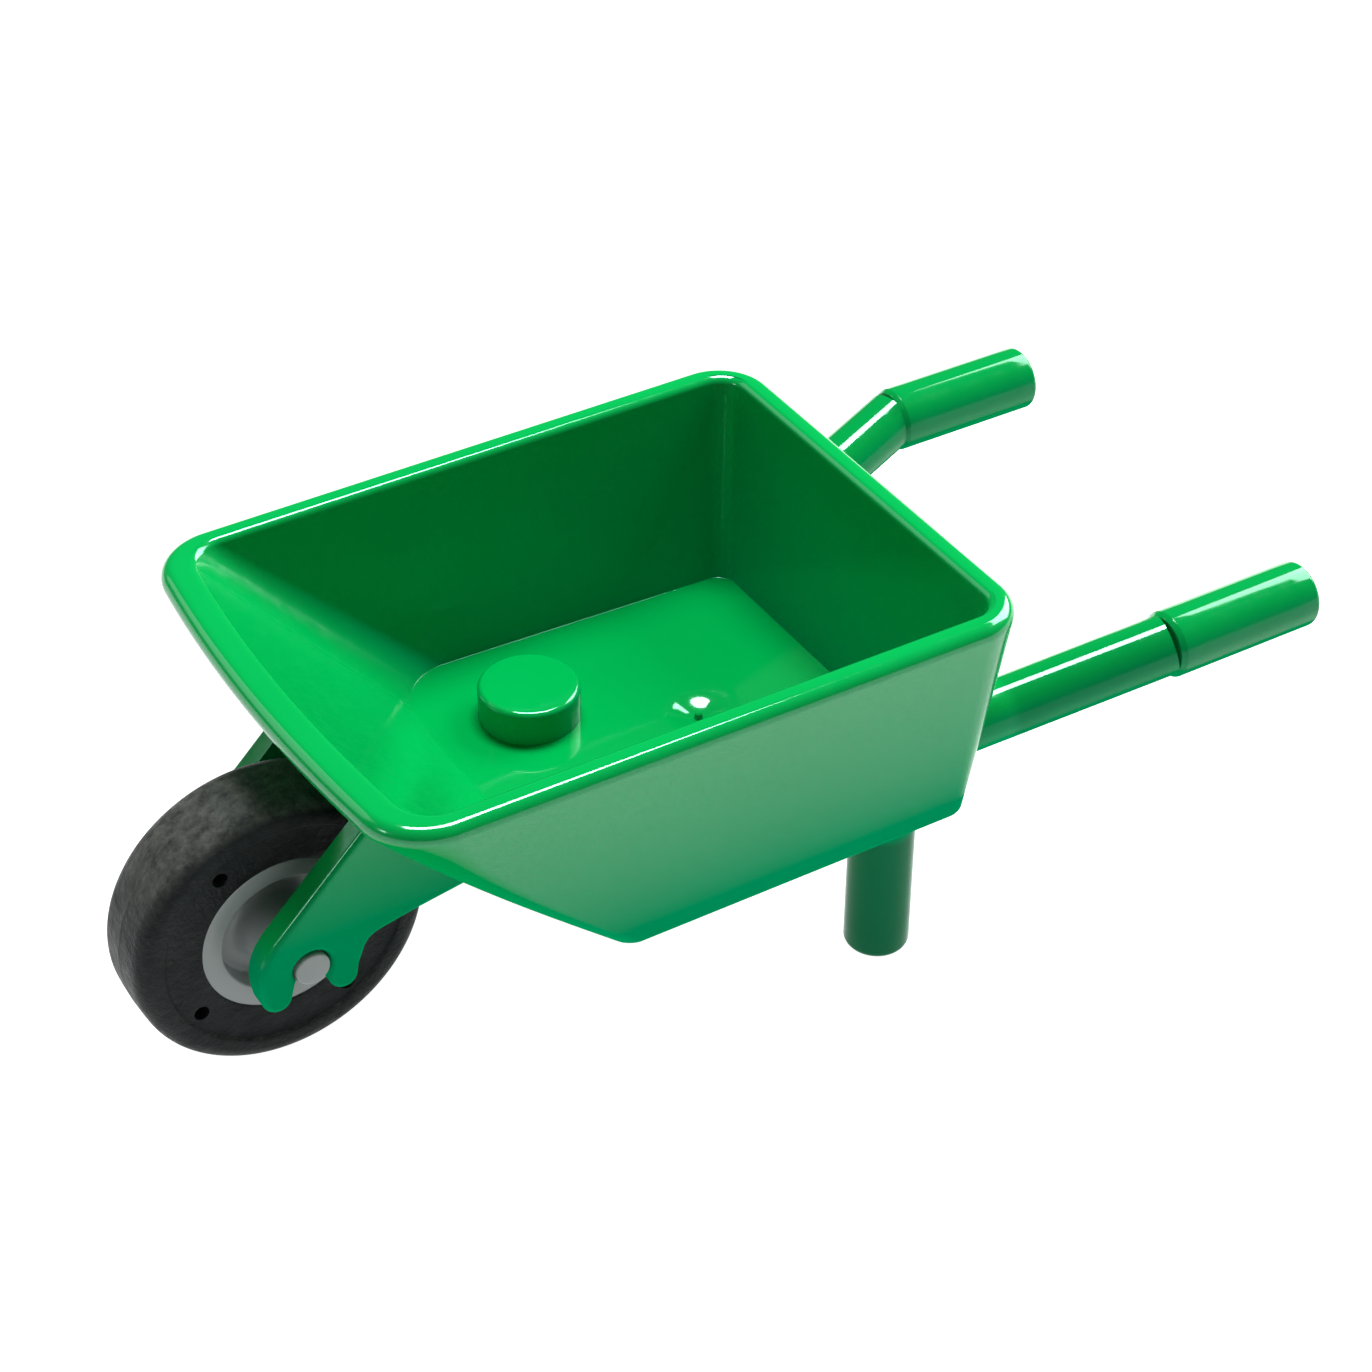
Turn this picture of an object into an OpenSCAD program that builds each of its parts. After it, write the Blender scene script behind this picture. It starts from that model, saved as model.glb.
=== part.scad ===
// Toy construction-set wheelbarrow: one-piece plastic frame with a tray, two legs, two handles
// and a two-armed fork, carrying a snap-in wheel with a smooth rubber tyre.
// Millimetres. +X points forward to the wheel, +Y to the left, +Z up. Ground is z = 0.
// The origin is the centre of the outline, on the ground, on the plane of symmetry.

/* [Tray] */
// length of the tray at the rim
tray_l = 32.1; // [30:0.1:34]
// width of the tray at the rim
tray_w = 24.6; // [23:0.1:26]
// height of the rim above the ground
rim_h = 18.85; // [17:0.05:21]
// height of the tray's underside above the ground
under_h = 7.35; // [7.2:0.05:8]
// thickness of the tray floor
floor_t = 1.6; // [1.2:0.1:2]
// width of the rim at the sides and the back
rim_t = 1.2; // [1:0.1:1.5]
// width of the underside
under_w = 21.7; // [20:0.1:22]

/* [Stud] */
// diameter of the stud on the tray floor
stud_d = 4.8; // [4.7:0.05:4.9]
// height of the stud
stud_h = 1.75; // [1.6:0.05:1.9]
// distance of the stud from the back of the rim
stud_x = 16.45; // [14:0.05:18]
// sideways offset of the stud, towards the right
stud_side = 4; // [0:0.5:5]

/* [Wheel] */
// distance of the axle ahead of the back of the rim
axle_x = 32; // [31.8:0.1:33]
// outer diameter of the tyre
tyre_d = 14; // [13:0.1:14.2]
// width of the tyre
tyre_w = 4; // [3.6:0.1:4.2]
// diameter of the wheel the tyre sits on
wheel_d = 8; // [7.5:0.1:8.5]
// diameter of the axle stubs
axle_d = 1.64; // [1.5:0.02:1.8]
// length over both axle stubs
axle_l = 9.3; // [9.2:0.05:9.6]

/* [Fork] */
// thickness of each fork arm
arm_t = 1.2; // [1:0.05:1.3]
// distance between the outer faces of the fork arms
fork_w = 9.2; // [9.1:0.1:9.6]
// radial running clearance of the axle in its notch
axle_gap = 0.05; // [0.02:0.01:0.1]

/* [Legs] */
// diameter of a leg
leg_d = 3.06; // [2.9:0.02:3.1]
// distance of the legs from the back of the rim
leg_x = 5.5; // [4:0.1:8]
// distance of a leg's centre from the middle
leg_y = 9.15; // [8.5:0.05:9.15]

/* [Handles] */
// diameter of a grip
grip_d = 3.18; // [3:0.02:3.3]
// length of a grip
grip_l = 8.15; // [6:0.05:11]
// diameter of the rod between tray and grip
rod_d = 2.86; // [2.6:0.02:2.9]
// distance of a grip's centre from the middle
grip_y = 11.05; // [10.5:0.05:11.5]
// height of a grip's centre
grip_z = 12.95; // [12:0.05:14]
// distance from the back of the rim to the start of the grips
grip_start = 8.4; // [7:0.1:10]

/* [Hidden] */
$fn = 96;
HULL_FN = 32;
LAYER = 0.01;
CUT = 40;
// where the two chamfers that stand for a rounded edge meet, as a part of its radius
EDGE_KNEE = 0.3;

// positions along X are first laid out from the back of the rim, then centred
over_front = axle_x + tyre_d / 2;
over_back = -grip_start - grip_l;
shift_x = -(over_front + over_back) / 2;
back_x = shift_x;
front_x = shift_x + tray_l;
wheel_x = shift_x + axle_x;
wheel_z = tyre_d / 2;
grip_x = shift_x - grip_start;

// tray outline
rim_hw = tray_w / 2;
under_hw = under_w / 2;
rim_round = 0.5;
rim_round_in = 0.35;
rear_r = 2.7;
front_r = 3;
front_in = 0.15;
front_hw = rim_hw - front_in;
bow = 0.4;
bow_flat = 6;
under_back = 1.9;
under_front = 11.4;
under_round = 0.15;
under_edge = 0.4;
under_r = 1;
floor_z = under_h + floor_t;
slope_low_x = front_x - under_front;
slope_low_z = under_h + under_edge;
slope_high_z = rim_h - rim_round;
slope_foot_x = slope_low_x - under_round;
slope_a = atan2(slope_high_z - under_h, front_x - slope_foot_x);

// tray hollow
front_t = 1.5;
in_front_x = front_x - front_t;
in_back_x = back_x + rim_t;
in_hw = rim_hw - rim_t;
in_rear_r = rear_r - rim_t;
in_front_r = front_r - rim_t;
pan_hw = 9.5;
pan_back = 2.75;
pan_front = 0.05;
pan_back_x = back_x + pan_back;
pan_front_x = slope_low_x - pan_front;
pan_rear_r = 1;
pan_front_r = 2.5;
side_low = 0.67;
side_mid = 0.16;
side_top = -0.1;
ramp_low = 1.25;
ramp_mid = 0.15;
ramp_top = -0.7;
edge_mid_z = 0.19;
edge_top_z = 0.66;

// gate mark in the floor
gate_from_back = 9.7;
gate_x = back_x + gate_from_back;
gate_r = 1.4;
gate_depth = 0.26;
gate_ball = (gate_r * gate_r + gate_depth * gate_depth) / (2 * gate_depth);
nub_r = 0.22;

// stud edge
stud_edge = 0.15;

// fork arm, laid out from the axle's centre
arm_out = fork_w / 2;
arm_in = arm_out - arm_t;
notch_r = axle_d / 2 + axle_gap;
// the mouth of the notch is a little narrower than the axle, so the wheel snaps in
throat_hw = notch_r * 0.9;
prong_r = 0.68;
prong_hw = prong_r * 0.96;
prong_drop = 1.12;
prong_front = 1.64;
prong_back = -1.5;
head_x = 2.5;
head_z = 0.3;
head_turn_x = 2.3;
head_turn_z = 1;
edge_sum = 3.6;
edge_end_x = 1.9;
split = -5.35;

// lower edge behind the back prong, then on under the arm, as X and Z from the axle
HEEL = [[-2.42, -0.3], [-2.7, 0.4], [-3.1, 0.62], [-3.5, 0.72]];
web_x = -4.42;
WEB = [[-5.05, 1.04], [-11.6, 2.1]];

// wheel profile radii and half widths
rim_in_r = 2.9;
seat_depth = 0.35;
seat_r = wheel_d / 2 - seat_depth;
seat_hw = 1.1;
rim_hw_y = 1.85;
dish_hw = 0.75;
hub_base_r = 2.1;
hub_tip_r = 1.3;
hub_gap = 0.3;
hub_hw = arm_in - hub_gap;
axle_hw = axle_l / 2;
axle_edge = 0.12;

// tyre profile
tyre_r = tyre_d / 2;
tyre_hw = tyre_w / 2;
shoulder_r = 0.9;
wall_step = 0.12;
wall_step_r = 5.9;
tyre_in_r = wheel_d / 2;

// leg and grip edges
foot_edge = 0.35;
grip_edge = 0.25;

// rod from the back wall to the grip
rod_root_in = 1.7;
rod_root_x = back_x + rod_root_in;
rod_root_y = 8.45;
rod_root_z = 10.4;
rod_dx = grip_x - rod_root_x;
rod_dy = grip_y - rod_root_y;
rod_dz = grip_z - rod_root_z;
rod_flat = sqrt(rod_dx * rod_dx + rod_dy * rod_dy);
rod_len = sqrt(rod_flat * rod_flat + rod_dz * rod_dz);
wall_a = atan2(under_back, slope_high_z - slope_low_z);

// a thin disc, the corner of one layer of a lofted shape
module corner(x, y, z, r) {
  translate([x, y, z]) cylinder(r = r, h = LAYER, $fn = HULL_FN);
}

// one layer of the tray's outside at rim level
module rim_layer(z, inset) {
  for (s = [-1, 1]) {
    corner(back_x + rear_r, s * (rim_hw - rear_r), z, rear_r - inset);
    corner(front_x - front_r, s * bow_flat, z, front_r - inset);
    corner(front_x - bow - front_r, s * (front_hw - front_r), z, front_r - inset);
  }
}

// one layer of the tray's outside at the underside
module under_layer(z, inset) {
  for (s = [-1, 1]) {
    corner(back_x + under_back + under_r, s * (under_hw - under_r), z, under_r - inset);
    corner(slope_low_x - under_r, s * (under_hw - under_r), z, under_r - inset);
  }
}

module tray_outside() {
  hull() {
    under_layer(under_h, under_round);
    under_layer(slope_low_z - LAYER, 0);
    rim_layer(slope_high_z, 0);
    rim_layer(rim_h - rim_round * EDGE_KNEE, rim_round * EDGE_KNEE);
    rim_layer(rim_h - LAYER, rim_round);
  }
}

// one layer of the tray's hollow near the floor
module pan_layer(z, side, ramp) {
  for (s = [-1, 1]) {
    corner(pan_back_x + side + pan_rear_r, s * (pan_hw - side - pan_rear_r), z, pan_rear_r);
    corner(pan_front_x - ramp - pan_front_r, s * (pan_hw - side - pan_front_r), z, pan_front_r);
  }
}

// one layer of the tray's hollow at the rim
module mouth_layer(z, out) {
  for (s = [-1, 1]) {
    corner(in_back_x + in_rear_r, s * (in_hw - in_rear_r), z, in_rear_r + out);
    corner(in_front_x - in_front_r, s * bow_flat, z, in_front_r + out);
    corner(in_front_x - bow - in_front_r, s * (in_hw - front_in - in_front_r), z, in_front_r + out);
  }
}

module tray_hollow() {
  hull() {
    pan_layer(floor_z, side_low, ramp_low);
    pan_layer(floor_z + edge_mid_z, side_mid, ramp_mid);
    pan_layer(floor_z + edge_top_z, side_top, ramp_top);
    mouth_layer(rim_h - rim_round_in, 0);
  }
  hull() {
    mouth_layer(rim_h - rim_round_in - LAYER, 0);
    mouth_layer(rim_h - rim_round_in * EDGE_KNEE, rim_round_in * EDGE_KNEE);
    mouth_layer(rim_h, rim_round_in);
  }
}

module tray() {
  color([0.0, 0.5, 0.2]) {
    difference() {
      tray_outside();
      tray_hollow();
      translate([gate_x, 0, floor_z - gate_depth + gate_ball]) sphere(r = gate_ball);
    }
    translate([gate_x, 0, floor_z - gate_depth - LAYER]) cylinder(r = nub_r, h = gate_depth);
  }
}

module floor_stud() {
  color([0.0, 0.5, 0.2])
  translate([shift_x + stud_x, -stud_side, floor_z])
  rotate_extrude() polygon([
    [0, 0],
    [stud_d / 2, 0],
    [stud_d / 2, stud_h - stud_edge],
    [stud_d / 2 - stud_edge, stud_h],
    [0, stud_h]
  ]);
}

// stands a profile drawn in X and Z up as a plate from y = arm_in to y = arm_out
module plate() {
  translate([wheel_x, arm_out, wheel_z]) rotate([90, 0, 0]) linear_extrude(height = arm_t) children();
}

// everything above the sloping front of the tray
module above_slope() {
  translate([slope_foot_x, -CUT / 2, under_h]) rotate([0, -slope_a, 0])
    translate([-CUT / 2, 0, 0]) cube([CUT * 2, CUT, CUT]);
}

module fork_arm(side) {
  color([0.0, 0.45, 0.2])
  mirror([0, side < 0 ? 1 : 0, 0])
  difference() {
    plate() polygon(concat(
      [[(edge_sum + split) / 2, (edge_sum - split) / 2], [web_x, web_x - split]],
      WEB,
      [[WEB[1][0], edge_sum - WEB[1][0]]]
    ));
    above_slope();
  }
}

module axle_clip(side) {
  color([0.0, 0.45, 0.2])
  mirror([0, side < 0 ? 1 : 0, 0])
  union() {
    difference() {
      plate() polygon(concat(
        [
          [(edge_sum + split) / 2, (edge_sum - split) / 2],
          [edge_end_x, edge_sum - edge_end_x],
          [head_turn_x, head_turn_z],
          [head_x, head_z],
          [prong_front + prong_hw, -prong_drop],
          [prong_back - prong_hw, -prong_drop]
        ],
        HEEL,
        [[web_x, web_x - split]]
      ));
      plate() circle(r = notch_r);
      plate() polygon([
        [-throat_hw, 0],
        [throat_hw, 0],
        [prong_front - prong_hw, -prong_drop],
        [prong_front - prong_hw, -prong_drop - LAYER],
        [prong_back + prong_hw, -prong_drop - LAYER],
        [prong_back + prong_hw, -prong_drop]
      ]);
    }
    plate() translate([prong_front, -prong_drop]) circle(r = prong_r);
    plate() translate([prong_back, -prong_drop]) circle(r = prong_r);
  }
}

module leg(side) {
  color([0.0, 0.45, 0.2])
  translate([shift_x + leg_x, side * leg_y, 0])
  rotate_extrude() polygon([
    [0, 0],
    [leg_d / 2 - foot_edge, 0],
    [leg_d / 2 - foot_edge * EDGE_KNEE, foot_edge * EDGE_KNEE],
    [leg_d / 2, foot_edge],
    [leg_d / 2, under_h],
    [0, under_h]
  ]);
}

// everything ahead of the tray's sloping back wall
module ahead_of_back() {
  translate([back_x, -CUT / 2, slope_high_z]) rotate([0, -wall_a, 0])
    translate([0, 0, -CUT]) cube([CUT, CUT, CUT * 2]);
}

module handle_rod(side) {
  color([0.0, 0.5, 0.2])
  mirror([0, side < 0 ? 1 : 0, 0])
  difference() {
    translate([rod_root_x, rod_root_y, rod_root_z])
      rotate([0, 90 - atan2(rod_dz, rod_flat), atan2(rod_dy, rod_dx)])
      cylinder(d = rod_d, h = rod_len + rod_d);
    ahead_of_back();
    translate([grip_x - CUT, -CUT / 2, 0]) cube([CUT, CUT, CUT]);
  }
}

module grip(side) {
  color([0.0, 0.5, 0.2])
  translate([grip_x, side * grip_y, grip_z]) rotate([0, -90, 0])
  rotate_extrude() polygon([
    [0, 0],
    [grip_d / 2, 0],
    [grip_d / 2, grip_l - grip_edge],
    [grip_d / 2 - grip_edge * EDGE_KNEE, grip_l - grip_edge * EDGE_KNEE],
    [grip_d / 2 - grip_edge, grip_l],
    [0, grip_l]
  ]);
}

module wheel() {
  color([0.45, 0.48, 0.48])
  translate([wheel_x, 0, wheel_z]) rotate([90, 0, 0])
  rotate_extrude() polygon([
    [0, -axle_hw],
    [axle_d / 2 - axle_edge, -axle_hw],
    [axle_d / 2, -axle_hw + axle_edge],
    [axle_d / 2, -hub_hw],
    [hub_tip_r, -hub_hw],
    [hub_base_r, -dish_hw],
    [rim_in_r, -dish_hw],
    [rim_in_r, -rim_hw_y],
    [wheel_d / 2, -rim_hw_y],
    [wheel_d / 2, -seat_hw],
    [seat_r, -seat_hw],
    [seat_r, seat_hw],
    [wheel_d / 2, seat_hw],
    [wheel_d / 2, rim_hw_y],
    [rim_in_r, rim_hw_y],
    [rim_in_r, dish_hw],
    [hub_base_r, dish_hw],
    [hub_tip_r, hub_hw],
    [axle_d / 2, hub_hw],
    [axle_d / 2, axle_hw - axle_edge],
    [axle_d / 2 - axle_edge, axle_hw],
    [0, axle_hw]
  ]);
}

// one half of the tyre's section: tread, shoulder and side wall with its step
module tyre_half() {
  difference() {
    union() {
      translate([tyre_in_r, 0]) square([tyre_r - shoulder_r - tyre_in_r, tyre_hw]);
      translate([tyre_in_r, 0]) square([tyre_r - tyre_in_r, tyre_hw - shoulder_r]);
      translate([tyre_r - shoulder_r, tyre_hw - shoulder_r]) circle(r = shoulder_r);
      translate([seat_r, 0]) square([tyre_in_r - seat_r + LAYER, seat_hw]);
    }
    translate([0, tyre_hw - wall_step]) square([wall_step_r, wall_step * 2]);
  }
}

module tyre() {
  color([0.03, 0.03, 0.035])
  translate([wheel_x, 0, wheel_z]) rotate([90, 0, 0])
  rotate_extrude() {
    tyre_half();
    mirror([0, 1]) tyre_half();
  }
}

tray();
floor_stud();
fork_arm(1);  // fork_arm_left
fork_arm(-1);  // fork_arm_right
axle_clip(1);  // axle_clip_left
axle_clip(-1);  // axle_clip_right
leg(1);  // leg_left
leg(-1);  // leg_right
handle_rod(1);  // handle_rod_left
handle_rod(-1);  // handle_rod_right
grip(1);  // grip_left
grip(-1);  // grip_right
wheel();
tyre();
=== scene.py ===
"""Looks of a small toy wheelbarrow: one green moulding, a grey snap-in wheel and a rubber tyre."""
import math

import bmesh
import bpy
from mathutils import Matrix, Vector

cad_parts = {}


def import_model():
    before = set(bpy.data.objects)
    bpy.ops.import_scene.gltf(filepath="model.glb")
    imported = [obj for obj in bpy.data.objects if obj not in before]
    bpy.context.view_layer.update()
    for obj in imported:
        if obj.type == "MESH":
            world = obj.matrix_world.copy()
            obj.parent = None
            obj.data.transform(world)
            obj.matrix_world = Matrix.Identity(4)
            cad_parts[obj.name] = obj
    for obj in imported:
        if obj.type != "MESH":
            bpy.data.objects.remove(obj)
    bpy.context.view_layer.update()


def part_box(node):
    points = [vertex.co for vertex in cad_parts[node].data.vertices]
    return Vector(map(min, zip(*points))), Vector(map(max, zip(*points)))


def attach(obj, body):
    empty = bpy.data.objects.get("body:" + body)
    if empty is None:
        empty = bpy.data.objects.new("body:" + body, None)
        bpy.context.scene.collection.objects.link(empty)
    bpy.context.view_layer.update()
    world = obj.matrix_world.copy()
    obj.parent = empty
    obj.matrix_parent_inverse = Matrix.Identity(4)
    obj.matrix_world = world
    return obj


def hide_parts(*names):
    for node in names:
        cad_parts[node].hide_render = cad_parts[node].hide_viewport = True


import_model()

MM = 0.001
LEFT, RIGHT = 1, -1
WELD = 1e-7  # points nearer than this are one point
AXIS_R = 1e-6  # radius of a turned ring that should lie on its axis

# ---------------------------------------------------------------- places, read from the frame
tray_lo, tray_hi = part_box("tray")
stud_lo, stud_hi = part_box("floor_stud")
wheel_lo, wheel_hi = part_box("wheel")
tyre_lo, tyre_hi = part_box("tyre")
clip_lo, clip_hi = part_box("axle_clip_left")
leg_lo, leg_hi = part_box("leg_left")
grip_lo, grip_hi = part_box("grip_left")

AXLE = (wheel_lo + wheel_hi) / 2
BACK_X, FRONT_X = tray_lo.x, tray_hi.x
RIM_Z, UNDER_Z = tray_hi.z, tray_lo.z
RIM_HW = tray_hi.y
FLOOR_Z = stud_lo.z
GRIP_R = (grip_hi.z - grip_lo.z) / 2
GRIP_C = Vector((grip_hi.x, (grip_lo.y + grip_hi.y) / 2, (grip_lo.z + grip_hi.z) / 2))
LEG_C = (leg_lo + leg_hi) / 2
LEG_R = (leg_hi.x - leg_lo.x) / 2

# ---------------------------------------------------------------- mesh helpers


def arc(cx, cy, r, start, end, n):
    """n + 1 points on a circle from start to end, in degrees."""
    angles = [math.radians(start + (end - start) * i / n) for i in range(n + 1)]
    return [(cx + r * math.cos(a), cy + r * math.sin(a)) for a in angles]


def line(p, q, n):
    """The points between p and q, both left out, with n equal steps."""
    return [tuple(a + (b - a) * i / n for a, b in zip(p, q)) for i in range(1, n)]


def object_from(name, verts, faces):
    """A smooth-shaded object with its faces looking outwards."""
    mesh = bpy.data.meshes.new(name)
    mesh.from_pydata([tuple(v) for v in verts], [], faces)
    mesh.validate()
    bm = bmesh.new()
    bm.from_mesh(mesh)
    bmesh.ops.remove_doubles(bm, verts=bm.verts, dist=WELD)
    bmesh.ops.recalc_face_normals(bm, faces=bm.faces)
    for f in bm.faces:
        f.smooth = True
    bm.to_mesh(mesh)
    bm.free()
    obj = bpy.data.objects.new(name, mesh)
    bpy.context.scene.collection.objects.link(obj)
    return obj


def loft(name, rings):
    """A closed skin over rings of equally many points, with a flat cap on the first and the last."""
    n = len(rings[0])
    verts = [p for ring in rings for p in ring]
    faces = []
    for k in range(len(rings) - 1):
        for i in range(n):
            j = (i + 1) % n
            faces.append((k * n + i, k * n + j, (k + 1) * n + j, (k + 1) * n + i))
    faces.append(tuple(range(n)))
    last = (len(rings) - 1) * n
    faces.append(tuple(last + i for i in reversed(range(n))))
    return object_from(name, verts, faces)


def lathe(name, profile, place, steps=96):
    """Turns (radius, height) points about the local Z axis; place carries it into the shared frame."""
    turn = [2 * math.pi * i / steps for i in range(steps)]
    rings = []
    for r, h in profile:
        r = max(r, AXIS_R)
        rings.append([place @ Vector((r * math.cos(a), r * math.sin(a), h)) for a in turn])
    return loft(name, rings)


def along(origin, direction):
    """A matrix that stands local Z along a direction at an origin."""
    return Matrix.Translation(origin) @ direction.to_track_quat("Z", "Y").to_matrix().to_4x4()


def fuse(target, kind, *others):
    """Joins closed meshes to the target (UNION) or cuts them out of it (DIFFERENCE)."""
    bpy.context.view_layer.update()
    for other in others:
        mod = target.modifiers.new("fuse", "BOOLEAN")
        mod.operation, mod.solver, mod.object = kind, "EXACT", other
        dg = bpy.context.evaluated_depsgraph_get()
        fused = bpy.data.meshes.new_from_object(target.evaluated_get(dg))
        target.modifiers.clear()
        target.data = fused
        bpy.data.objects.remove(other)
    return target


def finish_normals(obj, angle=32):
    """Smooth rounds and true flats; edges over the angle, in degrees, are sharp."""
    obj.data.set_sharp_from_angle(angle=math.radians(angle))
    mod = obj.modifiers.new("flats", "WEIGHTED_NORMAL")
    mod.keep_sharp, mod.weight = True, 80


# ---------------------------------------------------------------- the green moulding: tray

# the underside, inside the rim
UNDER_HW = 10.85 * MM
UNDER_BACK = 1.9 * MM
UNDER_FRONT = 11.4 * MM
UNDER_EDGE = 0.4 * MM
UNDER_ROUND, UNDER_FRONT_ROUND = 0.35 * MM, 0.7 * MM
# walls and rim
WALL, FRONT_WALL = 1.2 * MM, 1.5 * MM
RIM_ROUND, LIP_ROUND = 0.6 * MM, 0.4 * MM
BOW, BOW_LOW = 0.55 * MM, 0.3  # the front's bow at the rim, and the share of it at the underside
TAPER = 0.15 * MM  # how much narrower, per side, the rim is at the front than at the back
# the pan
PAN_HW, PAN_BACK = 8.8 * MM, 2.75 * MM
PAN_FLARE = 0.6 * MM  # how much wider, per side, the floor is at the front than at the back
PAN_ROUND, SLOPE_ROUND = 0.03 * MM, 0.06 * MM
SLOPE_FOOT = UNDER_FRONT - 0.5 * MM
# corner radii, and how they change on the way down to the floor
REAR_R, FRONT_R, UNDER_R = 2.7 * MM, 3.1 * MM, 1.0 * MM
REAR_SHRINK, FRONT_GROW = 0.4 * MM, 1.0 * MM
CORNER_STEPS, FRONT_STEPS, SIDE_STEPS = 18, 36, 16


def wall_profile(under_u, rim_u, floor_u, mouth_u, under_r, pan_r):
    """One wall's section as (distance outwards, height), from the underside over the rim to the floor."""
    rise = RIM_Z - RIM_ROUND - UNDER_Z
    lean_out = math.degrees(math.atan2(rim_u - under_u, rise))
    lean_in = math.degrees(math.atan2(mouth_u - floor_u, RIM_Z - FLOOR_Z))
    # underside round
    half = math.radians(90 - lean_out) / 2
    points = arc(under_u - under_r * math.tan(half), UNDER_Z + under_r, under_r, -90, -lean_out, 6)
    # outside wall up to the rim's outer round
    crest = arc(rim_u - RIM_ROUND, RIM_Z - RIM_ROUND, RIM_ROUND, -lean_out, 90, 10)
    points += line(points[-1], crest[0], 10) + crest
    # flat top, inner round, inside wall
    half = math.radians(90 + lean_in) / 2
    lip_off = LIP_ROUND * math.tan(math.pi / 2 - half)
    lip = arc(mouth_u + lip_off, RIM_Z - LIP_ROUND, LIP_ROUND, 90, 180 - lean_in, 7)
    points += line(crest[-1], lip[0], 3) + lip
    # floor fillet
    half = math.radians(90 - lean_in) / 2
    fillet = arc(floor_u - pan_r * math.tan(half), FLOOR_Z + pan_r, pan_r, -lean_in, -90, 10)
    points += line(lip[-1], fillet[0], 12) + fillet
    return points


def corner_arc(side, centre, r, start, end, start_z, end_z):
    """A corner of one level, left or right; its height runs from one wall's to the next one's."""
    points = arc(*centre, r, start, end, CORNER_STEPS)
    return [(x, side * y, start_z + (end_z - start_z) * (i / CORNER_STEPS))
            for i, (x, y) in enumerate(points)]


def outline(side, back, front, rear_r, front_r, bow, taper):
    """One level of the tray as a closed ring: side, back and front are (distance outwards, height)."""
    (rear_hw, side_z), (back_u, back_z), (front_x, front_z) = side, back, front
    hw = rear_hw - taper
    # the front corners meet the bowed front without a kink
    run = hw - front_r
    for _ in range(4):
        turn = math.atan2(2 * bow, run)
        run = hw - front_r * (1 - math.sin(turn))
    start = math.degrees(turn)
    corner = (front_x - bow - front_r * math.cos(turn), run - front_r * math.sin(turn))
    rear = (-back_u + rear_r, rear_hw - rear_r)
    ring = []
    for i in range(FRONT_STEPS):
        y = run * (2 * i / FRONT_STEPS - 1)
        ring.append((front_x - bow * (y / run) ** 2, y, front_z))
    ring += corner_arc(LEFT, corner, front_r, start, 90, front_z, side_z)
    ring += line((corner[0], hw, side_z), (rear[0], rear_hw, side_z), SIDE_STEPS)
    ring += corner_arc(LEFT, rear, rear_r, 90, 180, side_z, back_z)
    ring += line((-back_u, rear[1], back_z), (-back_u, -rear[1], back_z), SIDE_STEPS)
    ring += corner_arc(RIGHT, rear, rear_r, 180, 90, back_z, side_z)
    ring += line((rear[0], -rear_hw, side_z), (corner[0], -hw, side_z), SIDE_STEPS)
    ring += corner_arc(RIGHT, corner, front_r, 90, start, side_z, front_z)[:-1]
    return [Vector(p) for p in ring]


# the round gate mark in the floor: a shallow dish with the sheared nub of the sprue
GATE = Vector((BACK_X + 9.7 * MM, 0, FLOOR_Z))
GATE_R = 1.7 * MM
GATE_DEPTH = 0.32 * MM
GATE_NUB = 0.2 * MM
FLOOR_STEPS, DISH_STEPS = 8, 16
NUB_FOOT = 1.15  # where the dish ends, in radii of the nub
NUB_SUNK = 0.97  # the nub's foot, as a share of the dish's depth
NUB_PROFILE = ((1.1, 0.0), (1.0, 0.03), (0.95, 0.16),  # radii of the nub, millimetres up
               (0.85, 0.27), (0.55, 0.33), (0.15, 0.34))


def gate_mark(edge):
    """Rings that carry the floor from the pan's edge to the gate mark, its dish and its nub."""
    angles = [math.atan2(p.y - GATE.y, p.x - GATE.x) for p in edge]

    def round_ring(r, z):
        return [Vector((GATE.x + r * math.cos(a), GATE.y + r * math.sin(a), z)) for a in angles]

    start = round_ring(GATE_R, FLOOR_Z)
    rings = [[p.lerp(q, k / FLOOR_STEPS) for p, q in zip(edge, start)] for k in range(1, FLOOR_STEPS)]
    rings.append(start)
    for k in range(1, DISH_STEPS + 1):
        r = GATE_R + (GATE_NUB * NUB_FOOT - GATE_R) * k / DISH_STEPS
        rings.append(round_ring(r, FLOOR_Z - GATE_DEPTH * (1 - (r / GATE_R) ** 2) ** 2))
    base = FLOOR_Z - GATE_DEPTH * NUB_SUNK
    rings += [round_ring(GATE_NUB * share, base + up * MM) for share, up in NUB_PROFILE]
    return rings


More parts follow.
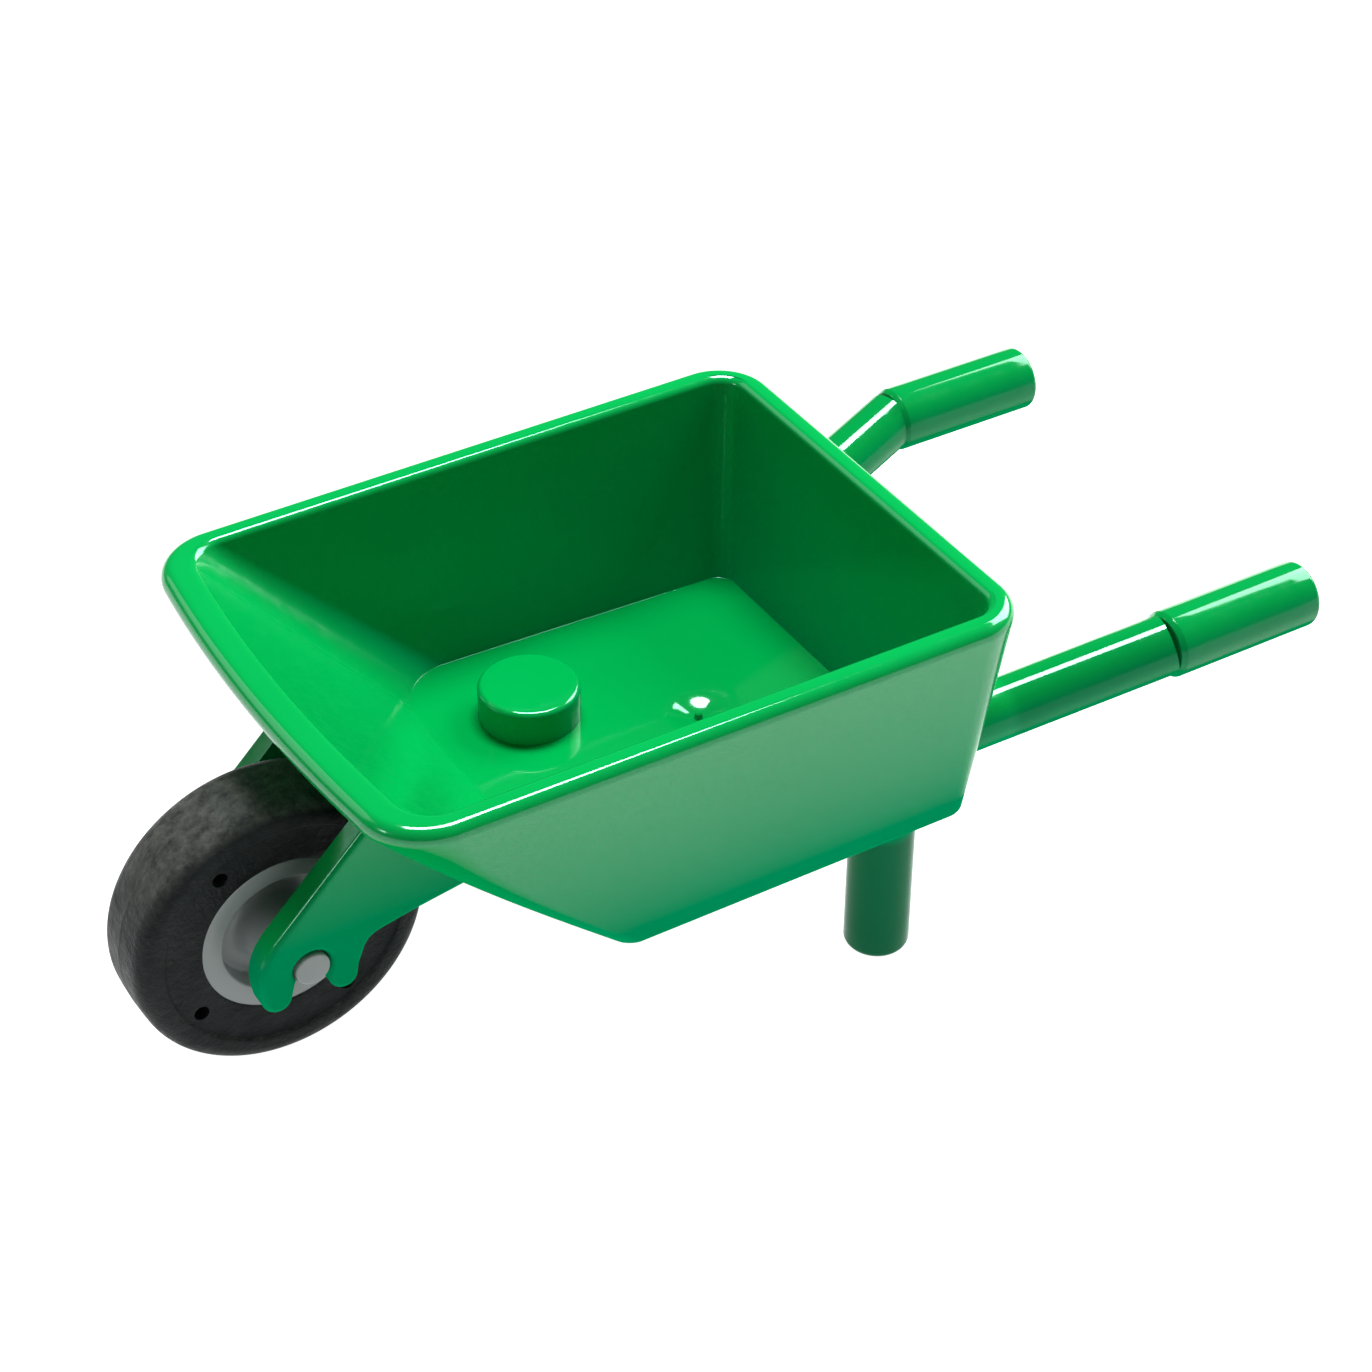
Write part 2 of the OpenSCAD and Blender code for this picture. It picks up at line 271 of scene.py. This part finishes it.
def tray():
    """The walls level by level, from the underside over the rim to the floor, then the gate mark."""
    back_u = -BACK_X
    side = wall_profile(UNDER_HW, RIM_HW, PAN_HW, RIM_HW - WALL, UNDER_ROUND, PAN_ROUND)
    back = wall_profile(back_u - UNDER_BACK, back_u, back_u - PAN_BACK, back_u - WALL,
                        UNDER_ROUND, PAN_ROUND)
    front = wall_profile(FRONT_X - UNDER_FRONT - UNDER_EDGE, FRONT_X, FRONT_X - SLOPE_FOOT,
                         FRONT_X - FRONT_WALL, UNDER_FRONT_ROUND, SLOPE_ROUND)
    crest = max(range(len(side)), key=lambda i: side[i][0])
    top = max(i for i, (_, z) in enumerate(side) if z > RIM_Z - WELD)
    rings = []
    for i, (u, z) in enumerate(side):
        rise = max(0, (z - UNDER_Z) / (RIM_Z - UNDER_Z))
        depth = (RIM_Z - z) / (RIM_Z - FLOOR_Z)
        taper = TAPER * rise
        if i <= crest:
            share = (z - UNDER_Z) / (RIM_Z - RIM_ROUND - UNDER_Z)
            rear_r = UNDER_R + (REAR_R - UNDER_R) * share
            front_r = UNDER_R + (FRONT_R - UNDER_R) * share ** 3
        elif i <= top:
            rear_r = REAR_R - (RIM_HW - u)
            front_r = FRONT_R - (RIM_HW - u)
        else:
            rear_r = REAR_R - WALL - LIP_ROUND * 0.5 - REAR_SHRINK * depth
            front_r = FRONT_R - WALL + FRONT_GROW * depth
            taper = TAPER * (1 - depth) - PAN_FLARE * depth
        bow = BOW * (BOW_LOW + (1 - BOW_LOW) * rise)
        rings.append(outline(side[i], back[i], front[i], rear_r, front_r, bow, taper))
    return loft("frame_moulding", rings + gate_mark(rings[-1]))


# ---------------------------------------------------------------- the green moulding: stud, legs, handles

SUNK = 0.5 * MM  # how far a stud or leg reaches into the tray's floor
STUD_EDGE = 0.25 * MM
LEG_EDGE, LEG_FILLET = 0.38 * MM, 0.3 * MM
ROD_R = 1.43 * MM
ROD_ROOT = Vector((BACK_X + 1.7 * MM, 8.45 * MM, 10.4 * MM))
ROD_WALL, ROD_FLARE, ROD_LAP = 0.55 * MM, 0.45 * MM, 0.2 * MM
GRIP_RISE, GRIP_START, GRIP_EDGE = 0.22 * MM, 0.04 * MM, 0.28 * MM


def stud():
    """The round stud on the floor."""
    r = (stud_hi.x - stud_lo.x) / 2
    h = stud_hi.z - FLOOR_Z
    profile = [(0, -SUNK), (r, -SUNK)]
    profile += arc(r - STUD_EDGE, h - STUD_EDGE, STUD_EDGE, 0, 90, 8)
    profile += [(r * k / 5, h) for k in (4, 3, 2, 1, 0)]
    centre = Vector(((stud_lo.x + stud_hi.x) / 2, (stud_lo.y + stud_hi.y) / 2, FLOOR_Z))
    return lathe("stud", profile, Matrix.Translation(centre), 128)


def leg(side):
    """A round leg, from the ground into the underside."""
    profile = [(LEG_R * k / 3, 0) for k in (0, 1, 2)]
    profile += arc(LEG_R - LEG_EDGE, LEG_EDGE, LEG_EDGE, -90, 0, 6)
    neck = (LEG_R, UNDER_Z - LEG_FILLET)
    profile += line(profile[-1], neck, 6)
    profile += [neck, (LEG_R, UNDER_Z + SUNK), (0, UNDER_Z + SUNK)]
    return lathe("leg", profile, Matrix.Translation(Vector((LEG_C.x, side * LEG_C.y, 0))))


def rod(root, end):
    """A handle's rod, with a flared root; it laps a little into the grip."""
    way = end - root
    tip = way.length + ROD_LAP
    profile = [(0, 0), (ROD_R + ROD_FLARE, 0), (ROD_R + ROD_FLARE, ROD_WALL)]
    profile += arc(ROD_R + ROD_FLARE, ROD_WALL + ROD_FLARE, ROD_FLARE, 270, 180, 6)
    profile += line(profile[-1], (ROD_R, tip), 10)
    profile += [(ROD_R, tip), (0, tip)]
    return lathe("rod", profile, along(root, way.normalized()))


def grip(end):
    """The thicker grip, level and pointing backwards from the rod's end."""
    length = grip_hi.x - grip_lo.x
    profile = [(0, 0), (ROD_R, 0), (GRIP_R - GRIP_START * 0.3, GRIP_RISE)]
    profile += arc(GRIP_R - GRIP_START, GRIP_RISE + GRIP_START, GRIP_START, -40, 0, 4)
    profile += line(profile[-1], (GRIP_R, length - GRIP_EDGE), 8)
    profile += arc(GRIP_R - GRIP_EDGE, length - GRIP_EDGE, GRIP_EDGE, 0, 90, 6)
    profile += [(GRIP_R * k / 4, length) for k in (2, 1, 0)]
    return lathe("grip", profile, along(end, Vector((-1, 0, 0))))


def handle(side):
    """The rod and the grip of one handle."""
    root = Vector((ROD_ROOT.x, side * ROD_ROOT.y, ROD_ROOT.z))
    end = Vector((GRIP_C.x, side * GRIP_C.y, GRIP_C.z))
    return rod(root, end), grip(end)


# ---------------------------------------------------------------- the green moulding: fork arms

ARM_OUT, ARM_IN = clip_hi.y, clip_lo.y
ARM_ROUND, ARM_ROUND_STEPS = 0.35 * MM, 4


def arm_outline():
    """The arm and clip seen from the left, about the axle, in millimetres."""
    points = arc(1.67, -1.12, 0.7, -10, -172, 12)  # front prong
    points += arc(0, 0, 0.87, -30, 214, 26)  # seat of the axle
    points += arc(-1.5, -1.17, 0.68, 0, -176, 12)  # back prong
    points += [(-2.26, -0.75), (-2.42, -0.35), (-2.58, 0.08), (-2.78, 0.38), (-3.08, 0.58)]
    points += [(-3.5, 0.7), (-5.05, 1.02), (-7.5, 1.43)]  # lower edge
    points += [(-10.52, 1.93), (-4.27, 7.87)]  # in the tray's front wall
    points += [(-2.0, 5.6), (0.4, 3.2), (1.62, 1.98)]  # upper edge
    points += [(1.86, 1.7), (2.07, 1.4), (2.24, 1.08), (2.37, 0.74), (2.46, 0.38), (2.5, 0.0)]
    points += [(2.49, -0.38), (2.44, -0.8)]
    return points


def arm(side):
    """One fork arm: the outline as a plate, its outer edge rounded."""
    outline_mm = arm_outline()
    bm = bmesh.new()
    inner, outer = ([bm.verts.new((AXLE.x + x * MM, side * y, AXLE.z + z * MM)) for x, z in outline_mm]
                    for y in (ARM_IN, ARM_OUT))
    n = len(inner)
    for i in range(n):
        j = (i + 1) % n
        bm.faces.new((inner[i], inner[j], outer[j], outer[i]))
    bm.faces.new(inner)
    bm.faces.new(outer)
    bmesh.ops.recalc_face_normals(bm, faces=bm.faces)
    rims = [e for e in bm.edges if all(abs(abs(v.co.y) - ARM_OUT) < WELD for v in e.verts)]
    bmesh.ops.bevel(bm, geom=rims, offset=ARM_ROUND, offset_type="OFFSET", segments=ARM_ROUND_STEPS,
                    profile=0.5, affect="EDGES", clamp_overlap=True)
    for f in bm.faces:
        f.smooth = True
    mesh = bpy.data.meshes.new("arm")
    bm.to_mesh(mesh)
    bm.free()
    obj = bpy.data.objects.new("arm", mesh)
    bpy.context.scene.collection.objects.link(obj)
    return obj


# ---------------------------------------------------------------- wheel and tyre

AXLE_R, AXLE_FLAT = 0.82 * MM, 0.35 * MM
HUB_R, HUB_END = 1.3 * MM, ARM_IN - 0.3 * MM
DISH = 0.75 * MM  # half the thickness of the web between hub and rim
RIM_HALF = 1.82 * MM
WHEEL_ROUND, RIM_EDGE = 0.12 * MM, 0.15 * MM


def wheel():
    """Axle, hub, web and rim in one turned piece."""
    rim_r = (wheel_hi.z - wheel_lo.z) / 2
    axle_hw = wheel_hi.y
    half = []  # (radius, distance from the middle), from the axle's end to the tyre seat
    half += [(0, axle_hw), (AXLE_FLAT, axle_hw)]
    half += arc(AXLE_R - WHEEL_ROUND, axle_hw - WHEEL_ROUND, WHEEL_ROUND, 90, 0, 4)
    half += line(half[-1], (AXLE_R, HUB_END), 5)
    half += [(AXLE_R, HUB_END)]
    half += arc(HUB_R - WHEEL_ROUND, HUB_END - WHEEL_ROUND, WHEEL_ROUND, 90, 20, 4)
    half += line(half[-1], (1.75 * MM, 1.3 * MM), 6)  # the hub widens towards the web
    half += arc(2.35 * MM, 1.35 * MM, 0.6 * MM, 185, 262, 8)
    half += [(2.6 * MM, DISH)]
    half += arc(2.78 * MM, DISH + WHEEL_ROUND, WHEEL_ROUND, 270, 360, 4)
    half += [(2.94 * MM, 1.3 * MM)]  # inside of the rim
    half += arc(3.08 * MM, RIM_HALF - WHEEL_ROUND, WHEEL_ROUND, 180, 90, 4)
    half += [(3.45 * MM, RIM_HALF)]
    half += arc(rim_r - RIM_EDGE, RIM_HALF - RIM_EDGE, RIM_EDGE, 90, 0, 4)
    profile = half + [(r, -y) for r, y in reversed(half)]
    return lathe("wheel_moulding", profile, along(AXLE, Vector((0, 1, 0))), 160)


TYRE_SEAT = 3.88 * MM
BEAD_ROUND = 0.14 * MM
TREAD_ROUND = 0.85 * MM
CROWN = 0.012 * MM  # how much the tread stands out along its middle
PIT_R, PIT_DEPTH, PIT_CLEAR, PIT_OUT = 0.36 * MM, 1.3 * MM, 0.3 * MM, 5.05 * MM
PIT_TURNS = (57, 147, 237, 327)


def tyre():
    """The tyre with a bead, a step in the sidewall, a rounded tread and dimples on both sides."""
    outer = (tyre_hi.z - tyre_lo.z) / 2
    hw = (tyre_hi.y - tyre_lo.y) / 2
    half = [(TYRE_SEAT, 0.0), (TYRE_SEAT, 0.9 * MM), (TYRE_SEAT, 1.6 * MM)]
    half += arc(TYRE_SEAT + BEAD_ROUND, hw - 2 * BEAD_ROUND, BEAD_ROUND, 180, 90, 4)
    half += [(4.45 * MM, hw - BEAD_ROUND), (5.0 * MM, hw - 0.13 * MM), (5.62 * MM, hw - 0.13 * MM)]
    half += [(5.68 * MM, hw - 0.1 * MM), (5.74 * MM, hw - 0.02 * MM), (5.82 * MM, hw)]  # step
    half += [(6.02 * MM, hw)]
    half += arc(outer - 0.88 * MM, hw - TREAD_ROUND, TREAD_ROUND, 84, 8, 12)
    half += [(outer - CROWN, 0.85 * MM), (outer, 0.4 * MM), (outer, 0.05 * MM)]
    profile = half + [(outer + CROWN, 0.0)] + [(r, -y) for r, y in reversed(half[1:])]
    ring = lathe("tyre_ring", profile, along(AXLE, Vector((0, 1, 0))), 220)
    pits = [pit(side, hw, turn) for side in (LEFT, RIGHT) for turn in PIT_TURNS]
    return fuse(ring, "DIFFERENCE", *pits)


def pit(side, hw, turn):
    """A plug for one of the round dimples in a sidewall."""
    angle = math.radians(turn)
    place = Vector((AXLE.x + PIT_OUT * math.cos(angle), side * (hw + PIT_CLEAR),
                    AXLE.z + PIT_OUT * math.sin(angle)))
    profile = [(0, 0), (PIT_R, 0), (PIT_R, PIT_CLEAR + PIT_DEPTH), (0, PIT_CLEAR + PIT_DEPTH)]
    return lathe("pit", profile, along(place, Vector((0, -side, 0))), 24)


# ---------------------------------------------------------------- material helpers

NOISE_LOW, NOISE_HIGH = 0.3, 0.7  # the span of a noise field that is carried to the wanted range
MIX_A, MIX_B, MIX_RESULT = 6, 7, 2  # the colour sockets of a Mix node


def new_material(name):
    """An empty material with a Principled shader."""
    mat = bpy.data.materials.new(name)
    mat.use_nodes = True
    nodes = mat.node_tree.nodes
    nodes.clear()
    out = nodes.new("ShaderNodeOutputMaterial")
    shader = nodes.new("ShaderNodeBsdfPrincipled")
    mat.node_tree.links.new(shader.outputs[0], out.inputs[0])
    return mat, shader


def span(mat, value, low, high, at_low, at_high):
    """A value's span low..high carried to at_low..at_high, held at both ends."""
    node = mat.node_tree.nodes.new("ShaderNodeMapRange")
    for name, number in (("From Min", low), ("From Max", high), ("To Min", at_low), ("To Max", at_high)):
        node.inputs[name].default_value = number
    mat.node_tree.links.new(value, node.inputs["Value"])
    return node.outputs["Result"]


def noise(mat, scale, detail, low, high, roughness=0.5):
    """Noise in object space, mapped to a range of values."""
    tree = mat.node_tree
    place = tree.nodes.new("ShaderNodeTexCoord")
    field = tree.nodes.new("ShaderNodeTexNoise")
    field.inputs["Scale"].default_value = scale
    field.inputs["Detail"].default_value = detail
    field.inputs["Roughness"].default_value = roughness
    tree.links.new(place.outputs["Object"], field.inputs["Vector"])
    return span(mat, field.outputs["Fac"], NOISE_LOW, NOISE_HIGH, low, high)


def bump(mat, shader, height, distance):
    """Fine relief: a height of 1 stands out by the distance."""
    node = mat.node_tree.nodes.new("ShaderNodeBump")
    node.inputs["Distance"].default_value = distance
    node.inputs["Strength"].default_value = 1.0
    mat.node_tree.links.new(height, node.inputs["Height"])
    mat.node_tree.links.new(node.outputs["Normal"], shader.inputs["Normal"])


def mix_colours(mat, factor, low, high):
    """A mix of two colours, each given as a triple or as a socket."""
    node = mat.node_tree.nodes.new("ShaderNodeMix")
    node.data_type = "RGBA"
    mat.node_tree.links.new(factor, node.inputs[0])
    for slot, colour in ((node.inputs[MIX_A], low), (node.inputs[MIX_B], high)):
        if isinstance(colour, tuple):
            slot.default_value = (*colour, 1)
        else:
            mat.node_tree.links.new(colour, slot)
    return node.outputs[MIX_RESULT]


def arithmetic(mat, kind, a, b):
    """One arithmetic step on two numbers or sockets."""
    node = mat.node_tree.nodes.new("ShaderNodeMath")
    node.operation = kind
    for slot, value in zip(node.inputs, (a, b)):
        if isinstance(value, (int, float)):
            slot.default_value = value
        else:
            mat.node_tree.links.new(value, slot)
    return node.outputs[0]


def product(mat, a, b):
    return arithmetic(mat, "MULTIPLY", a, b)


def total(mat, a, b):
    return arithmetic(mat, "ADD", a, b)


def rest(mat, a):
    """What is left of 1."""
    return arithmetic(mat, "SUBTRACT", 1, a)


def axis_of(mat, vector, axis):
    """One coordinate of a vector socket."""
    split = mat.node_tree.nodes.new("ShaderNodeSeparateXYZ")
    mat.node_tree.links.new(vector, split.inputs[0])
    return split.outputs[axis]


def place_of(mat, axis):
    """One coordinate of the surface point in the object's own frame."""
    return axis_of(mat, mat.node_tree.nodes.new("ShaderNodeTexCoord").outputs["Object"], axis)


def face_up(mat):
    """How far a face looks up: 1 for a level top, 0 for an upright side, -1 for a level underside."""
    return axis_of(mat, mat.node_tree.nodes.new("ShaderNodeNewGeometry").outputs["Normal"], "Z")


def steepness(mat):
    """1 on upright and overhanging faces, 0 on those that look up."""
    return span(mat, face_up(mat), 0.3, 0.7, 1, 0)


# ---------------------------------------------------------------- materials

GREEN_PLAIN = (0.0, 0.265, 0.049), (0.0, 0.28, 0.053)
# painted shade: the deeper, bluer green that upright faces take on low down
GREEN_SHADED = (0.0, 0.27, 0.098), (0.0, 0.285, 0.106)
GREEN_TINT = (0.6, 1.0, 0.95, 1)
BLACK = (0, 0, 0)
GLOSS = 0.8
# painted shade: the sheen on upright faces fades from SHEEN_HIGH at FADE_HIGH to SHEEN_LOW at FADE_LOW
SHEEN_LOW, SHEEN_HIGH = 0.0, 0.7
FADE_LOW, FADE_HIGH = 8.5 * MM, 19 * MM
# painted shade: the sheen is taken away on faces that look down
OVERHANG, UPRIGHT = -0.35, -0.12  # face_up where the sheen is gone, and where it is full
LEG_SHADE, LEG_SHEEN = 0.5, 0.08
LEGS_X = -4 * MM, 0  # the shade on the legs is full behind the first and gone ahead of the second
LEGS_Z = UNDER_Z - 0.5 * MM, UNDER_Z
# painted shade: the handles behind the tray are darker and have less sheen
HANDLE_SHADE, HANDLE_SHADE_DULL = 0.2, 0.35
HANDLES_X = BACK_X - 1 * MM, BACK_X - 0.5 * MM
SATIN, POLISH = 0.16, 0.075
LEVEL_FROM, LEVEL_TO = 0.8, 0.92  # face_up where a face starts to be polished, and where it is

GREY = (0.235, 0.262, 0.262), (0.28, 0.308, 0.308)

RUBBER, DUST_AND_SHEEN = (0.0004, 0.001, 0.0018), (0.085, 0.088, 0.078)
RUBBER_TINT = (0.85, 0.97, 1.0, 1)
RUBBER_LEVEL = 0.17
# dust all over, and more on faces that look up, where it is also a painted highlight
DUST_AND_SHEEN_ON_TOP, DUST_ALL_OVER = 0.9, 0.1

PALE = (0.29, 0.29, 0.29), (0.31, 0.31, 0.31)


def green_colour(mat, steep, fade, legs, handles):
    """Painted shade: deeper green low down on upright faces, and darker on the legs and the handles."""
    cloud = noise(mat, 90, 3, 0, 1)
    # painted shade: upright faces turn deeper green towards the bottom
    low = product(mat, steep, rest(mat, fade))
    plain, shaded = mix_colours(mat, cloud, *GREEN_PLAIN), mix_colours(mat, cloud, *GREEN_SHADED)
    green = mix_colours(mat, low, plain, shaded)
    darker = total(mat, product(mat, legs, 1 - LEG_SHADE), product(mat, handles, HANDLE_SHADE))
    return mix_colours(mat, darker, green, BLACK)


def green_shine(mat, steep, fade, legs, handles):
    """Full gloss on faces that look up; a grained sheen on upright ones. Its fade low down and its loss
    on faces that look down are painted shade.
    """
    grain = noise(mat, 6000, 3, 0.75, 1.25, 0.7)
    sheen = product(mat, span(mat, fade, 0, 1, SHEEN_LOW, SHEEN_HIGH), grain)
    # painted shade: no sheen on faces that look down
    sheen = product(mat, sheen, span(mat, face_up(mat), OVERHANG, UPRIGHT, 0, 1))
    sheen = total(mat, sheen, product(mat, legs, LEG_SHEEN))
    level = total(mat, product(mat, steep, sheen), product(mat, rest(mat, steep), GLOSS))
    return product(mat, level, rest(mat, product(mat, handles, HANDLE_SHADE_DULL)))


def green_plastic():
    """Glossy where it lies level; upright faces are pale at the rim, and deeper green with less sheen
    lower down, which is painted shade.
    """
    mat, shader = new_material("green_plastic")
    links = mat.node_tree.links
    steep = steepness(mat)
    # the height ramp for the painted shade low on upright faces: deeper green and less sheen towards the
    # bottom
    fade = span(mat, place_of(mat, "Z"), FADE_LOW, FADE_HIGH, 0, 1)
    # the legs stand in the shade of the tray
    legs = product(mat, span(mat, place_of(mat, "Z"), *LEGS_Z, 1, 0),
                   span(mat, place_of(mat, "X"), *LEGS_X, 1, 0))
    # painted shade on the handles behind the tray
    handles = span(mat, place_of(mat, "X"), *HANDLES_X, 1, 0)
    links.new(green_colour(mat, steep, fade, legs, handles), shader.inputs["Base Color"])
    links.new(green_shine(mat, steep, fade, legs, handles), shader.inputs["Specular IOR Level"])
    polish = span(mat, face_up(mat), LEVEL_FROM, LEVEL_TO, SATIN, POLISH)
    links.new(product(mat, polish, noise(mat, 1500, 4, 0.7, 1.3)), shader.inputs["Roughness"])
    shader.inputs["IOR"].default_value = 1.5
    shader.inputs["Specular Tint"].default_value = GREEN_TINT
    bump(mat, shader, noise(mat, 260, 2, 0, 1), 0.003 * MM)
    return mat


def grey_plastic():
    """Satin grey of the wheel."""
    mat, shader = new_material("grey_plastic")
    links = mat.node_tree.links
    links.new(mix_colours(mat, noise(mat, 200, 3, 0, 1), *GREY), shader.inputs["Base Color"])
    links.new(noise(mat, 1500, 4, 0.28, 0.4), shader.inputs["Roughness"])
    bump(mat, shader, noise(mat, 900, 3, 0, 1), 0.01 * MM)
    return mat


def tyre_rubber():
    """Near-black rubber with pale dust all over; on top of the tread there is more, partly real dust and
    partly a painted highlight.
    """
    mat, shader = new_material("tyre_rubber")
    links = mat.node_tree.links
    # part dust, part painted highlight on faces that look up
    dust_and_sheen_share = total(mat, product(mat, rest(mat, steepness(mat)), DUST_AND_SHEEN_ON_TOP), DUST_ALL_OVER)
    dust_and_sheen = product(mat, noise(mat, 1500, 8, 0.1, 1, 0.72), dust_and_sheen_share)
    links.new(mix_colours(mat, dust_and_sheen, RUBBER, DUST_AND_SHEEN), shader.inputs["Base Color"])
    links.new(noise(mat, 900, 5, 0.38, 0.56), shader.inputs["Roughness"])
    shader.inputs["Specular IOR Level"].default_value = RUBBER_LEVEL
    shader.inputs["Specular Tint"].default_value = RUBBER_TINT
    bump(mat, shader, noise(mat, 2200, 8, 0, 1, 0.65), 0.05 * MM)
    return mat


def pale_floor():
    """A floor that glows, so that it comes out white with only a faint shadow."""
    mat, shader = new_material("pale_floor")
    mat.node_tree.links.new(mix_colours(mat, noise(mat, 40, 2, 0, 1), *PALE), shader.inputs["Base Color"])
    shader.inputs["Roughness"].default_value = 0.8
    shader.inputs["Emission Color"].default_value = (1, 1, 1, 1)
    shader.inputs["Emission Strength"].default_value = 1.0
    return mat


# ---------------------------------------------------------------- build

green = green_plastic()
moulding = tray()
parts = [stud(), leg(LEFT), leg(RIGHT), arm(LEFT), arm(RIGHT), *handle(LEFT), *handle(RIGHT)]
fuse(moulding, "UNION", *parts)
finish_normals(moulding)
moulding.data.materials.clear()
moulding.data.materials.append(green)
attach(moulding, "frame")
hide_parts("tray", "floor_stud", "fork_arm_left", "fork_arm_right", "axle_clip_left",
            "axle_clip_right", "leg_left", "leg_right", "handle_rod_left", "handle_rod_right",
            "grip_left", "grip_right")

wheel_piece = wheel()
finish_normals(wheel_piece)
wheel_piece.data.materials.append(grey_plastic())
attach(wheel_piece, "wheel_set")
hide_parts("wheel")

tyre_piece = tyre()
finish_normals(tyre_piece)
tyre_piece.data.materials.append(tyre_rubber())
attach(tyre_piece, "wheel_set")
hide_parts("tyre")

# ---------------------------------------------------------------- floor, light and camera

FLOOR_REACH, FLOOR_TILES = 3.0, 8
WORLD_LIGHT = 0.05
LIGHT_AIM = Vector((0, 0, 0.01))

AZIMUTH, ELEVATION, ROLL = math.radians(58.103), math.radians(37.554), math.radians(0.555)
CAMERA_DISTANCE = 153.476 * MM
CAMERA_AIM = Vector((-3.214, -3.838, 7.307)) * MM
SENSOR, LENS = 36, 84.13


def floor():
    """A square of tiles far wider than the view."""
    row = FLOOR_TILES + 1
    marks = [FLOOR_REACH * (2 * i / FLOOR_TILES - 1) for i in range(row)]
    verts = [(x, y, 0) for y in marks for x in marks]
    faces = [(j * row + i, j * row + i + 1, (j + 1) * row + i + 1, (j + 1) * row + i)
             for j in range(FLOOR_TILES) for i in range(FLOOR_TILES)]
    obj = object_from("floor", verts, faces)
    obj.data.materials.append(pale_floor())


def area_light(name, place, size, power, size_y=None):
    """A white area light that looks at the object: square, or a rectangle when size_y is given."""
    data = bpy.data.lights.new(name, "AREA")
    data.energy = power
    data.size = size
    if size_y:
        data.shape = "RECTANGLE"
        data.size_y = size_y
    obj = bpy.data.objects.new(name, data)
    obj.location = place
    obj.rotation_mode = "QUATERNION"
    obj.rotation_quaternion = (LIGHT_AIM - Vector(place)).to_track_quat("-Z", "Y")
    bpy.context.scene.collection.objects.link(obj)


def world():
    """A faint white surrounding light."""
    data = bpy.data.worlds.new("studio")
    data.use_nodes = True
    background = data.node_tree.nodes["Background"]
    background.inputs["Color"].default_value = (1, 1, 1, 1)
    background.inputs["Strength"].default_value = WORLD_LIGHT
    bpy.context.scene.world = data


def camera():
    """The photo's view: back is the way from the aim to the camera."""
    back = Vector((math.cos(ELEVATION) * math.cos(AZIMUTH), math.cos(ELEVATION) * math.sin(AZIMUTH),
                   math.sin(ELEVATION)))
    right = Vector((-math.sin(AZIMUTH), math.cos(AZIMUTH), 0))
    up = back.cross(right)
    tilted_right = right * math.cos(ROLL) + up * math.sin(ROLL)
    tilted_up = up * math.cos(ROLL) - right * math.sin(ROLL)
    data = bpy.data.cameras.new("camera")
    data.sensor_width = SENSOR
    data.lens = LENS
    data.clip_start, data.clip_end = 0.005, 20
    obj = bpy.data.objects.new("camera", data)
    turn = Matrix((tilted_right, tilted_up, back)).transposed().to_4x4()
    obj.matrix_world = Matrix.Translation(CAMERA_AIM + back * CAMERA_DISTANCE) @ turn
    bpy.context.scene.collection.objects.link(obj)
    bpy.context.scene.camera = obj


floor()
world()
area_light("overhead", (-0.075, -0.09, 0.42), 0.21, 3.0, size_y=0.12)
area_light("side", (-0.36, -0.07, 0.26), 0.28, 2.9)
area_light("edge", (0.35, 0, 0.2), 0.06, 0.12)
area_light("card", (0.225, -0.3, 0.25), 0.25, 0.24)
camera()
bpy.context.scene.view_settings.view_transform = "Standard"
bpy.context.view_layer.update()
